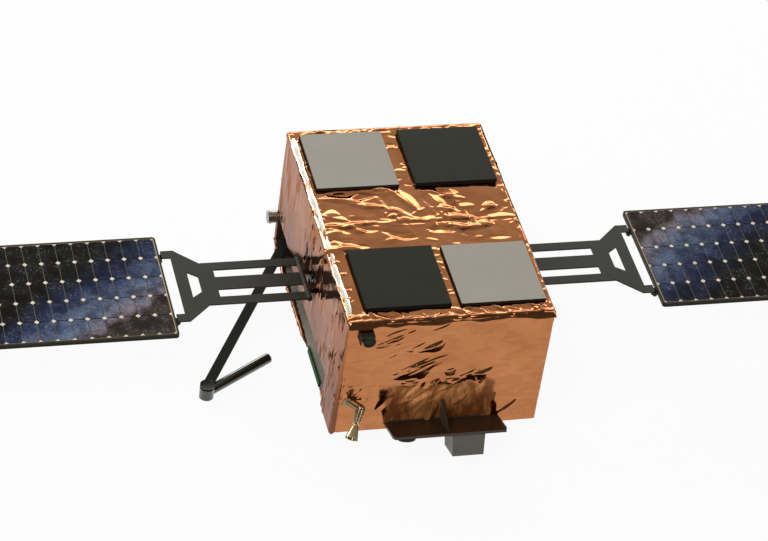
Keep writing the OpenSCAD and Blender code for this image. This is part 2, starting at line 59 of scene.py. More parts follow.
TABLE = 61              # random numbers along each side of a noise table
RING_STEP = 0.011       # distance between the rings of a crumpled roll
BAY_ROOT = 0.124        # length of the bay's tall rear part with its wall
BAY_CHANNEL = 0.063     # height of the bay's channel in front of it
BRACKET_HALF = 0.050    # half the width of the cut-out round a yoke's bracket
CUT_DEPTH = 0.03        # how far in from a wall's outside its cut-outs reach
POCKET = 0.0008         # from a solar panel's face down to its pocket's floor


# ---- sizes read from the frame ----

def node_box(*names):
    """Lowest and highest corner of one or more CAD nodes together, as arrays."""
    corners = np.array([[list(c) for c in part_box(name)] for name in names])
    return corners[:, 0].min(axis=0), corners[:, 1].max(axis=0)


BODY_LOW, BODY_HIGH = node_box(*(skin + "_blanket" for skin in SKINS))
BODY_SIZE = BODY_HIGH - BODY_LOW
BODY_MID = (BODY_LOW + BODY_HIGH) / 2


# ---- settings ----

def colour(name, description, value):
    """A colour property, linear red, green and blue."""
    return FloatVectorProperty(name=name, description=description, default=value, size=3,
                               subtype="COLOR", min=0.0, max=1.0)


def length(name, description, value):
    """A length property in metres."""
    return FloatProperty(name=name, description=description, default=value, min=0.0,
                         subtype="DISTANCE", unit="LENGTH")


def share(name, description, value):
    """A plain number from 0 to 1."""
    return FloatProperty(name=name, description=description, default=value, min=0.0, max=1.0,
                         subtype="FACTOR")


class FoilSettings(bpy.types.PropertyGroup):
    """Insulation foil of the body."""
    copper: colour("Copper", "Colour of the foil's flat areas", (0.53, 0.215, 0.088))
    # Deep copper colours the foil's stains and also its painted shade along the crinkle.
    deep: colour("Deep copper", "Colour of the foil's stained areas", (0.34, 0.115, 0.038))
    roughness: share("Roughness", "How much the foil blurs what it mirrors", 0.10)
    grid: length("Grid", "Spacing of the foil's mesh", 0.0025)
    edge: length("Edge radius", "Radius at which the foil turns over the body's edges", 0.0075)
    hem: length("Hem", "Width of the top sheet's hem over the front", 0.004)
    flare: length("Flare", "How far the foil of the left side stands out at its foot", 0.013)
    seed: IntProperty(name="Seed", description="Picks the set of random folds", default=11)


class WingSettings(bpy.types.PropertyGroup):
    """Solar cells and their bed."""
    columns: IntProperty(name="Columns", description="Cell columns on a panel", default=11)
    rows: IntProperty(name="Rows", description="Cell rows on a panel", default=5)
    border: length("Border", "Bare edge of the panel round its cells", 0.007)
    gap: length("Gap", "Gap between two cells", 0.0015)
    corner: length("Cut corner", "Length cut off each corner of a cell", 0.0062)
    # black, navy, blue, lilac and brown are the stops of the cells' painted reflection, from far out
    # to next to the body
    black: colour("Black", "Cells far from the body", (0.010, 0.009, 0.007))
    navy: colour("Navy", "Cells between black and blue", (0.026, 0.035, 0.085))
    blue: colour("Blue", "Cells nearer the body", (0.118, 0.160, 0.245))
    lilac: colour("Lilac", "Cells next to the blue ones", (0.215, 0.180, 0.205))
    brown: colour("Brown", "Cells nearest the body", (0.054, 0.040, 0.033))
    tab: colour("Tab", "Colour of the tabs where four cells meet", (0.82, 0.70, 0.54))
    bed: colour("Bed", "Colour of the sheet under the cells", (0.060, 0.052, 0.045))
    trim: colour("Trim", "Colour of the line round the cells", (0.50, 0.36, 0.20))


class FinishSettings(bpy.types.PropertyGroup):
    """Paints and metals of the other pieces."""
    arm: colour("Arms", "Dark paint of the yokes and the boom", (0.027, 0.026, 0.018))
    light_plate: colour("Light plates", "Light antenna plates", (0.350, 0.326, 0.268))
    dark_plate: colour("Dark plates", "Dark antenna plates", (0.016, 0.016, 0.008))
    shelf: colour("Shelf", "Sensor shelf", (0.040, 0.020, 0.009))
    camera: colour("Camera box", "Camera box under the shelf", (0.146, 0.143, 0.115))
    bay: colour("Boom bay", "Liner of the boom's bay", (0.37, 0.33, 0.275))
    brass: colour("Brass", "Thruster", (0.60, 0.46, 0.25))
    board: colour("Board", "Circuit board", (0.004, 0.062, 0.003))
    metal: colour("Metal", "Bare metal of the ring and the structure", (0.58, 0.58, 0.58))


class StageSettings(bpy.types.PropertyGroup):
    """Camera, floor and light."""
    azimuth: FloatProperty(name="Azimuth", description="Camera's angle round the satellite",
                           default=math.radians(-18.62), subtype="ANGLE")
    elevation: FloatProperty(name="Elevation", description="Camera's angle above the horizon",
                             default=math.radians(39.83), subtype="ANGLE")
    roll: FloatProperty(name="Roll", description="Camera's turn about its own axis",
                        default=math.radians(8.78), subtype="ANGLE")
    place: FloatVectorProperty(name="Place", description="Camera's place", size=3,
                               default=(-1.891, -5.417, 5.013), subtype="TRANSLATION",
                               unit="LENGTH")
    lens: FloatProperty(name="Lens", description="Focal length in millimetres", default=141.75,
                        min=1.0)
    floor: colour("Floor", "Colour of the floor", (0.86, 0.86, 0.86))
    glow: share("Floor glow", "Share of the floor that the camera sees as plain white", 0.93)


# ---- shader maths ----

def set_stops(ramp, stops):
    """Gives a colour ramp its stops: pairs of a place and a colour."""
    while len(ramp.elements) < len(stops):
        ramp.elements.new(1.0)
    for element, (place, tone) in zip(ramp.elements, stops):
        element.position = place
        element.color = (*tone, 1.0)


class Value:
    """An output socket with arithmetic: an expression on values adds its Math nodes."""

    def __init__(self, surface, socket):
        self.surface = surface
        self.socket = socket

    def _math(self, operation, first, second=0.0):
        return self.surface.node("ShaderNodeMath", {"operation": operation}, {0: first, 1: second})

    def __add__(self, other):
        return self._math("ADD", self, other)

    def __sub__(self, other):
        return self._math("SUBTRACT", self, other)

    def __mul__(self, other):
        return self._math("MULTIPLY", self, other)

    def __truediv__(self, other):
        return self._math("DIVIDE", self, other)

    def __rsub__(self, other):
        return self._math("SUBTRACT", other, self)

    __radd__ = __add__
    __rmul__ = __mul__

    def __abs__(self):
        return self._math("ABSOLUTE", self)

    def floor(self):
        """The whole number below this value."""
        return self._math("FLOOR", self)

    def clip(self, low, high):
        """This value from low to high, spread to 0 to 1 with soft ends."""
        return self.surface.node("ShaderNodeMapRange", {"interpolation_type": "SMOOTHSTEP"},
                                 {"Value": self, "From Min": low, "From Max": high})


class Surface:
    """A procedural material: a Principled shader with constants on its own sockets."""

    def __init__(self, name, **constants):
        self.material = bpy.data.materials.new(name)
        self.material.use_nodes = True
        self.tree = self.material.node_tree
        self.shader = self.tree.nodes["Principled BSDF"]
        for socket, value in constants.items():
            self.shader.inputs[socket.replace("_", " ")].default_value = value

    def node(self, kind, settings, values, output=0):
        """Adds a node: its settings first, then the numbers or links of its sockets."""
        made = self.tree.nodes.new(kind)
        for name, setting in settings.items():
            if name == "stops":
                set_stops(made.color_ramp, setting)
            else:
                setattr(made, name, setting)
        for socket, value in values.items():
            self._feed(made.inputs[socket], value)
        return Value(self, made.outputs[output])

    def _feed(self, socket, value):
        if isinstance(value, Value):
            self.tree.links.new(value.socket, socket)
        else:
            socket.default_value = value

    def set(self, **links):
        """Feeds sockets of the shader from values."""
        for socket, value in links.items():
            self._feed(self.shader.inputs[socket.replace("_", " ")], value)
        return self.material

    def coordinates(self, scale=(1.0, 1.0, 1.0), turn=(0.0, 0.0, 0.0)):
        """Coordinates in the piece's own frame, in metres, scaled and turned."""
        place = self.node("ShaderNodeTexCoord", {}, {}, "Object")
        return self.node("ShaderNodeMapping", {},
                         {"Vector": place, "Scale": scale, "Rotation": turn})

    def noise(self, where, scale, detail=3.0, roughness=0.5, distortion=0.0):
        """Cloudy noise from 0 to 1."""
        return self.node("ShaderNodeTexNoise", {},
                         {"Vector": where, "Scale": scale, "Detail": detail,
                          "Roughness": roughness, "Distortion": distortion})

    def mix(self, factor, first, second, blend="MIX"):
        """Mixes two colours."""
        pair = [v if isinstance(v, Value) else (*v, 1.0) for v in (first, second)]
        return self.node("ShaderNodeMix", {"data_type": "RGBA", "blend_type": blend},
                         {0: factor, 6: pair[0], 7: pair[1]}, 2)

    def parts(self, vector):
        """The three numbers of a vector."""
        split = self.tree.nodes.new("ShaderNodeSeparateXYZ")
        self.tree.links.new(vector.socket, split.inputs[0])
        return [Value(self, out) for out in split.outputs]

    def bump(self, height, distance, strength=1.0, normal=None):
        """A normal from a height, the height's whole range being distance metres."""
        values = {"Height": height, "Distance": distance, "Strength": strength}
        if normal is not None:
            values["Normal"] = normal
        return self.node("ShaderNodeBump", {}, values, "Normal")


# ---- finishes ----

def painted(name, tone, roughness, gloss=0.25, grain=0.00012, coat=0.0, wear=0.3, cloudy=1.0,
            side=None, rear=None):
    """Satin paint on metal with cloudy tone, a fine grain, worn patches and soft edges. side
    is the tone of upright faces, and rear that of the part behind the satellite's middle. The
    shelf's side is a painted highlight, and the bay's rear is painted shade."""
    s = Surface(name, Coat_Weight=coat, Coat_Roughness=0.12, Specular_IOR_Level=gloss)
    where = s.coordinates()
    cloud = s.noise(where, 9.0, 4.0, 0.6)
    speck = s.noise(where, 420.0, 2.0, 0.6)
    rub = s.noise(where, 34.0, 5.0, 0.7, 0.6).clip(0.52, 0.78)
    darker = tuple(c * 0.78 for c in tone)
    lighter = tuple(min(1.0, c * 1.2 + 0.003) for c in tone)
    base = s.mix(cloud.clip(0.3, 0.7) * cloudy + (1.0 - cloudy), darker, tone)
    base = s.mix(rub * wear, base, lighter)
    base = s.mix(speck.clip(0.35, 0.65) * 0.12, base, darker)
    if side:
        facing = s.parts(s.node("ShaderNodeNewGeometry", {}, {}, "Normal"))[2]
        base = s.mix(facing.clip(0.6, 0.3), base, side)
    if rear:
        base = s.mix(s.parts(where)[1].clip(0.19, 0.25), base, rear)
    edges = s.node("ShaderNodeBevel", {"samples": 4}, {"Radius": 0.0007}, "Normal")
    return s.set(Base_Color=base, Roughness=roughness + (cloud - 0.5) * 0.16 + rub * 0.06,
                 Normal=s.bump(speck + cloud * 0.6, grain, 0.5, edges))


def bare_metal(name, tone, roughness, brushed=(1.0, 1.0, 40.0)):
    """Machined metal with fine marks along one direction and faint stains."""
    s = Surface(name, Metallic=1.0)
    marks = s.noise(s.coordinates(brushed), 60.0, 4.0, 0.6)
    darkening = s.noise(s.coordinates(), 14.0, 4.0, 0.6)
    darker = tuple(c * 0.62 for c in tone)
    base = s.mix(darkening.clip(0.4, 0.75) * 0.55, tone, darker)
    return s.set(Base_Color=base, Roughness=roughness + (marks - 0.5) * 0.18 + darkening * 0.08,
                 Normal=s.bump(marks, 0.00006, 0.5))


def foil_finish(settings):
    """Mirror-bright copper foil with a soft crinkle, a few stains and painted shade: along
    the crinkle, over the left wall and round the left yoke's root.
    """
    s = Surface("copper_foil", Specular_Tint=(0.82, 0.70, 0.66, 1.0))
    where = s.coordinates()
    x, y, z = s.parts(where)
    cloud = s.noise(where, 6.0, 4.0, 0.6)
    streak = s.noise(s.coordinates((1.0, 1.0, 0.35)), 38.0, 3.0, 0.5, 0.5)
    wrinkle = s.noise(s.coordinates((0.8, 1.0, 2.0)), 17.0, 4.0, 0.55, 1.4)
    copper, deep = tuple(settings.copper), tuple(settings.deep)
    base = s.mix(cloud.clip(0.3, 0.8) * 0.4, copper, deep)
    base = s.mix(streak.clip(0.5, 0.8) * 0.25, base, deep)
    # painted shade: the foil darker where the crinkle's noise is high, as if shaded in its folds
    base = s.mix(wrinkle.clip(0.42, 0.62) * 0.36, base, deep)
    left = float(BODY_LOW[0])
    darkening = s.noise(s.coordinates((1.0, 1.0, 0.25)), 17.0, 3.0, 0.5, 0.8)
    wall = x.clip(left + 0.004, left)
    # painted shade: the left wall darker than the same foil elsewhere, most towards its foot and in
    # upright streaks
    on_left = wall * (0.2 + z.clip(0.36, 0.12) * 0.6 + darkening.clip(0.42, 0.66) * 0.25)
    base = s.mix(on_left, base, (0.175, 0.072, 0.044))
    # painted shade: a dark zone on the left wall round the yoke's root
    root = abs(y + (darkening - 0.5) * 0.05).clip(0.085, 0.060) * wall
    root = root * z.clip(0.19, 0.22) * (z + (darkening - 0.5) * 0.10).clip(0.340, 0.300)
    base = s.mix(root * 0.72, base, (0.085, 0.048, 0.032))
    # dull warm patch above the sensor shelf
    jag = (s.noise(where, 30.0, 3.0, 0.6) - 0.5) * 0.03
    patch = (x + jag).clip(-0.138, -0.128) * (x + jag).clip(0.137, 0.131)
    patch = patch * (z + jag * 2.0).clip(0.205, 0.192) * y.clip(-0.355, -0.360) * z.clip(0.074, 0.080)
    slant = s.noise(s.coordinates((1.0, 1.0, 0.25), (0.0, 0.7, 0.0)), 26.0, 4.0, 0.6, 0.8)
    glow = s.mix(slant.clip(0.40, 0.62), (0.30, 0.095, 0.026), (0.80, 0.33, 0.11))
    height = streak + s.noise(where, 16.0, 3.0, 0.5) + wrinkle * 1.5
    return s.set(Base_Color=s.mix(patch, base, glow), Metallic=1.0 - patch * 0.62,
                 Roughness=settings.roughness + (cloud - 0.5) * 0.06 + patch * 0.25,
                 Normal=s.bump(height, 0.0011, 0.3))


def rim_finish():
    """Crumpled foil of the rolled edge, painted a warm near-white as a painted highlight in
    place of the bright reflection along it, with copper flecks.
    """
    s = Surface("rim_foil", Metallic=1.0)
    where = s.coordinates((1.0, 0.28, 1.0))
    cloud = s.noise(where, 60.0, 3.0, 0.55)
    # painted highlight: warm near-white over most of the roll, copper where the noise is high
    base = s.mix(cloud.clip(0.55, 0.61), (0.99, 0.90, 0.74), (0.40, 0.17, 0.07))
    return s.set(Base_Color=base, Roughness=0.2 + cloud * 0.1,
                 Normal=s.bump(s.noise(where, 60.0, 2.0), 0.0008, 0.4))


def cell_reach(x, y, side):
    """How far a place on a wing is from the body, along the slant of the painted reflection on the
    cells.
    """
    return (x - y * 1.25) * side


def bed_finish(name, settings, side, pitch, low):
    """The sheet that shows between the cells: pale between two columns where the cells are
    dark, dark between two rows."""
    s = Surface(name, Specular_IOR_Level=0.02)
    where = s.coordinates()
    x, y, _ = s.parts(where)
    row = (y - float(low[1])) / float(pitch[1])
    near_row = abs(row - row.floor() - 0.5).clip(0.470, 0.478)
    far = cell_reach(x, y, side).clip(0.62, 0.80)
    cloud = s.noise(where, 60.0, 3.0, 0.6)
    base = s.mix(far, (0.030, 0.027, 0.024), (0.17, 0.16, 0.145))
    base = s.mix(near_row, base, (0.016, 0.011, 0.008))
    return s.set(Base_Color=s.mix(cloud * 0.4, base, tuple(settings.bed)),
                 Roughness=0.45 + cloud * 0.1, Normal=s.bump(cloud, 0.0001, 0.3))


def cell_finish(name, settings, side, pitch, low):
    """Solar cell glass. Its tone runs from brown next to the body over lilac, blue and navy
    to black far out as a painted reflection, with mottling and a tone of its own for each cell."""
    s = Surface(name, Specular_IOR_Level=0.02)
    where = s.coordinates()
    x, y, _ = s.parts(where)
    column = ((x - float(low[0])) / float(pitch[0])).floor()
    rows = (y - float(low[1])) / float(pitch[1])
    row = rows.floor()
    index = s.node("ShaderNodeCombineXYZ", {}, {"X": column, "Y": row})
    own = s.node("ShaderNodeTexWhiteNoise", {"noise_dimensions": "2D"}, {"Vector": index})
    cloud = s.noise(where, 5.0, 4.0, 0.6, 0.4)
    mottle = s.noise(where, 170.0, 4.0, 0.8)
    patch = s.noise(where, 26.0, 3.0, 0.6)
    # painted reflection: the cells' tone set by their reach from the body
    reach = cell_reach(x, y, side) + (cloud - 0.5) * 0.16 + (own - 0.5) * 0.05
    tones = [tuple(getattr(settings, n)) for n in ("brown", "lilac", "blue", "navy", "black")]
    places = (0.10, 0.16, 0.35, 0.60, 0.84)
    base = s.node("ShaderNodeValToRGB", {"stops": list(zip(places, tones))},
                  {"Fac": (reach - 0.5) * 2.0}, "Color")
    dim = s.mix(patch.clip(0.35, 0.6), (0.45, 0.42, 0.45), (1.0, 1.0, 1.0))
    base = s.mix(1.0, base, dim, "MULTIPLY")
    base = s.mix(mottle.clip(0.54, 0.68) * patch.clip(0.42, 0.62) * 0.5, base,
                 (0.30, 0.32, 0.36))
    base = s.mix(mottle.clip(0.52, 0.34) * 0.6, base, tuple(settings.black))
    base = s.mix(abs(rows - row - 0.5).clip(0.476, 0.486), base, (0.012, 0.009, 0.007))
    return s.set(Base_Color=base, Roughness=0.3 + mottle * 0.2,
                 Normal=s.bump(mottle + cloud * 2.0, 0.00016, 0.4))


# ---- meshes ----

def piece(name, points, faces, body, material, smooth=False):
    """A new mesh piece that rides on a CAD body."""
    mesh = bpy.data.meshes.new(name)
    mesh.from_pydata([tuple(p) for p in points], [], [tuple(f) for f in faces])
    mesh.materials.append(material)
    if smooth:
        mesh.polygons.foreach_set("use_smooth", [True] * len(mesh.polygons))
    mesh.update()
    made = bpy.data.objects.new(name, mesh)
    bpy.context.collection.objects.link(made)
    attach(made, body)
    return made


def foil_sheet(name, points, faces, sides, flat, **more):
    """One stretched sheet of foil in place of the blankets on some sides of the body."""
    made = piece(name, points, faces, "body", bpy.data.materials["copper_foil"],
                 smooth=True)
    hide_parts(*(side + "_blanket" for side in sides))
    [side + "_panel" for side in sides]


def finish_node(node, material):
    """Gives a CAD node its material."""
    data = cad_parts[node].data
    data.materials.clear()
    data.materials.append(material)


def lattice_noise(u, v, step, seed):
    """Smooth noise from -1 to 1 over two coordinates, with features about step long."""
    table = np.random.default_rng(seed).uniform(-1.0, 1.0, (TABLE, TABLE))
    x, y = u / step, v / step
    i, j = np.floor(x).astype(int), np.floor(y).astype(int)
    fx, fy = x - i, y - j
    fx, fy = fx * fx * (3.0 - 2.0 * fx), fy * fy * (3.0 - 2.0 * fy)
    i, j, k, m = i % TABLE, j % TABLE, (i + 1) % TABLE, (j + 1) % TABLE
    a, b, c, d = table[i, j], table[k, j], table[i, m], table[k, m]
    return a + (b - a) * fx + (c - a) * fy + (a - b - c + d) * fx * fy


def add_creases(height, u, v, table):
    """Adds creases to heights over u and v. Each has two flat facets that meet in a crest and
    pointed ends. A row of the table holds the middle u and v, the angle, the half-length, the
    width, the rise, the lean of the facets (-1 to 1) and the bend."""
    for middle_u, middle_v, turn, half, width, rise, lean, bend in table:
        near = (np.abs(u - middle_u) < half) & (np.abs(v - middle_v) < half)
        du, dv = u[near] - middle_u, v[near] - middle_v
        along = (du * math.cos(turn) + dv * math.sin(turn)) / half
        across = dv * math.cos(turn) - du * math.sin(turn) + bend * half * along ** 2
        taper = np.clip(1.0 - along ** 2, 0.0, 1.0)
        facet = width * taper * np.where(across > 0, 1.0 + lean, 1.0 - lean) + 1e-9
        height[near] += rise * taper * np.clip(1.0 - np.abs(across) / facet, 0.0, 1.0)


def scatter(rng, count, low, high, turn, fan, half, width, slope, lean=0.3):
    """Rows for add_creases at random places from low to high. half, width and slope are
    ranges, and lean is the facets' largest lean either way."""
    rows = []
    for _ in range(count):
        w = rng.uniform(*width)
        tip = rng.uniform(-lean, lean)
        rise = rng.uniform(*slope) * w * (1.0 + tip) * rng.choice([1.0, 1.0, -1.0])
        rows.append((rng.uniform(low[0], high[0]), rng.uniform(low[1], high[1]),
                     turn + rng.normal(0.0, fan), rng.uniform(*half), w, rise, tip,
                     rng.normal(0.0, 0.09)))
    return rows


def turned_edge(distance, half, radius, most):
    """Where a sheet lies that turns down over an edge by at most the angle most. distance is
    measured along the sheet from its middle, half is from the middle to the edge. Gives the
    place outwards, the drop and the angle turned."""
    past = np.abs(distance) - (half - radius)
    angle = np.clip(past / radius, 0.0, most)
    straight = np.clip(past - radius * most, 0.0, None)
    out = np.where(past > 0, half - radius + radius * np.sin(angle) + straight * np.cos(most),
                   np.abs(distance))
    drop = np.where(past > 0, radius * (1.0 - np.cos(angle)) + straight * np.sin(most), 0.0)
    return np.sign(distance) * out, drop, np.sign(distance) * angle


def crumpled_roll(name, start, end, radii, crumple, material, seed):
    """A rolled edge of crumpled foil from start to end. radii are sideways and upwards."""
    rng = np.random.default_rng(seed)
    start, end = np.array(start), np.array(end)
    size = float(np.linalg.norm(end - start))
    rings, sides = int(size / RING_STEP), 10
    along = (end - start) / size
    sideways = np.cross(along, (0.0, 0.0, 1.0))
    t, a = np.meshgrid(np.linspace(0.0, 1.0, rings), np.arange(sides) * 2 * math.pi / sides,
                       indexing="ij")
    a = a + rng.uniform(-0.08, 0.08, t.shape)
    thick = 1.0 + rng.uniform(-crumple, crumple, t.shape)
    thick *= 0.9 + 0.25 * lattice_noise(t * size, a * 0.01, 0.03, seed)
    thick *= np.clip(np.minimum(t, 1.0 - t) * rings / 4.0, 0.25, 1.0)
    jog = t[..., None] * size + rng.uniform(-0.0025, 0.0025, t.shape)[..., None]
    points = start + along * jog
    points = points + sideways * (np.cos(a) * thick * radii[0])[..., None]
    points = points + np.array((0.0, 0.0, 1.0)) * (np.sin(a) * thick * radii[1])[..., None]
    faces = []
    for i in range(rings - 1):
        for j in range(sides):
            k = (j + 1) % sides
            faces.append((i * sides + j, i * sides + k, (i + 1) * sides + k, (i + 1) * sides + j))
    last = (rings - 1) * sides
    faces += [tuple(range(sides))[::-1], tuple(range(last, last + sides))]
    return piece(name, points.reshape(-1, 3), faces, "body", material, smooth=True)


def grid_faces(columns, rows, keep=None):
    """Quads of a grid of points, without those whose corners aren't all kept."""
    i, j = np.meshgrid(np.arange(columns - 1), np.arange(rows - 1), indexing="ij")
    first = (i * rows + j).ravel()
    quads = np.stack([first, first + rows, first + rows + 1, first + 1], axis=1)
    if keep is not None:
        quads = quads[keep.ravel()[quads].all(axis=1)]
    return quads


def used_only(points, faces):
    """Drops the points that no face uses."""
    used, renumbered = np.unique(faces, return_inverse=True)
    return points[used], renumbered.reshape(np.shape(faces))


# ---- operators ----

class SatelliteOperator:
    """What every operator here shares."""
    bl_options = {"REGISTER", "UNDO"}

    def execute(self, context):
        self.make(context.scene)
        return {"FINISHED"}


class SATELLITE_OT_stage(SatelliteOperator, bpy.types.Operator):
    """Make the camera, the floor and the studio light"""
    bl_idname = "satellite.stage"
    bl_label = "Studio and camera"

    def make(self, scene):
        settings = scene.satellite_stage
        scene.view_settings.view_transform = "Standard"
        self.camera(scene, settings)
        self.world(scene)
        self.floor(scene, settings)
        self.lamps(scene)

    def camera(self, scene, s):
        back = Vector((math.sin(s.azimuth) * math.cos(s.elevation),
                       -math.cos(s.azimuth) * math.cos(s.elevation), math.sin(s.elevation)))
        level = Vector((0, 0, 1)).cross(back).normalized()
        upright = back.cross(level)
        right = level * math.cos(s.roll) + upright * math.sin(s.roll)
        up = upright * math.cos(s.roll) - level * math.sin(s.roll)
        data = bpy.data.cameras.new("camera")
        data.lens = s.lens
        data.clip_end = 100.0
        camera = bpy.data.objects.new("camera", data)
        turn = Matrix((right, up, back)).transposed().to_4x4()
        camera.matrix_world = Matrix.Translation(s.place) @ turn
        scene.collection.objects.link(camera)
        scene.camera = camera

    def world(self, scene):
        world = bpy.data.worlds.new("studio")
        world.use_nodes = True
        tree = world.node_tree
        place = tree.nodes.new("ShaderNodeTexCoord")
        split = tree.nodes.new("ShaderNodeSeparateXYZ")
        tree.links.new(place.outputs["Generated"], split.inputs[0])
        ramp = tree.nodes.new("ShaderNodeValToRGB")
        toward = tree.nodes.new("ShaderNodeMath")
        toward.operation = "MULTIPLY_ADD"
        toward.inputs[1].default_value = toward.inputs[2].default_value = 0.5
        tree.links.new(split.outputs["Y"], toward.inputs[0])
        tree.links.new(toward.outputs[0], ramp.inputs["Fac"])
        greys = ((0.0, 0.10), (0.45, 0.13), (0.62, 0.42), (0.86, 0.62), (1.0, 0.9))
        set_stops(ramp.color_ramp, [(along, (grey, grey, grey)) for along, grey in greys])
        tree.links.new(ramp.outputs["Color"], tree.nodes["Background"].inputs["Color"])
        tree.nodes["Background"].inputs["Strength"].default_value = 1.0
        scene.world = world

    def floor(self, scene, s):
        reach = 40.0
        rim = [(-reach, -reach, 0.0), (reach, -reach, 0.0), (reach, reach, 0.0),
               (-reach, reach, 0.0)]
        surface = Surface("floor", Roughness=0.9)
        where = surface.coordinates()
        tone = surface.noise(where, 0.6, 2.0)
        surface.set(Base_Color=surface.mix(tone * 0.04, tuple(s.floor),
                                           tuple(c * 0.9 for c in s.floor)))
        rays = surface.tree.nodes.new("ShaderNodeLightPath")
        seen = Value(surface, rays.outputs["Is Camera Ray"])
        seen = seen + Value(surface, rays.outputs["Is Glossy Ray"])
        seen = seen + Value(surface, rays.outputs["Is Transmission Ray"])
        glow = surface.node("ShaderNodeEmission", {}, {"Strength": 1.0})
        both = surface.node("ShaderNodeMixShader", {}, {
            0: seen.clip(0.0, 1.0) * s.glow,
            1: Value(surface, surface.shader.outputs[0]), 2: glow})
        out = surface.tree.nodes["Material Output"]
        surface.tree.links.new(both.socket, out.inputs["Surface"])
        mesh = bpy.data.meshes.new("floor")
        mesh.from_pydata(rim, [], [(0, 1, 2, 3)])
        mesh.materials.append(surface.material)
        floor = bpy.data.objects.new("floor", mesh)
        scene.collection.objects.link(floor)

    def lamps(self, scene):
        """Soft boxes: name, place, size, power. All face the satellite."""
        boxes = (("key", (-2.6, -2.2, 4.4), (2.4, 2.4), 130.0),
                 ("fill", (3.4, -3.0, 3.2), (2.6, 2.0), 40.0),
                 ("rear", (0.9, 5.2, 2.2), (6.5, 1.9), 170.0),
                 ("rear_left", (-3.9, 4.3, 1.9), (2.2, 1.7), 100.0))
        aim = Vector(BODY_MID)
        for name, place, size, power in boxes:
            data = bpy.data.lights.new(name, "AREA")
            data.shape = "RECTANGLE"
            data.size, data.size_y = size
            data.energy = power
            lamp = bpy.data.objects.new(name, data)
            away = (Vector(place) - aim).normalized()
            turn = away.to_track_quat("Z", "Y").to_matrix().to_4x4()
            lamp.matrix_world = Matrix.Translation(place) @ turn
            scene.collection.objects.link(lamp)


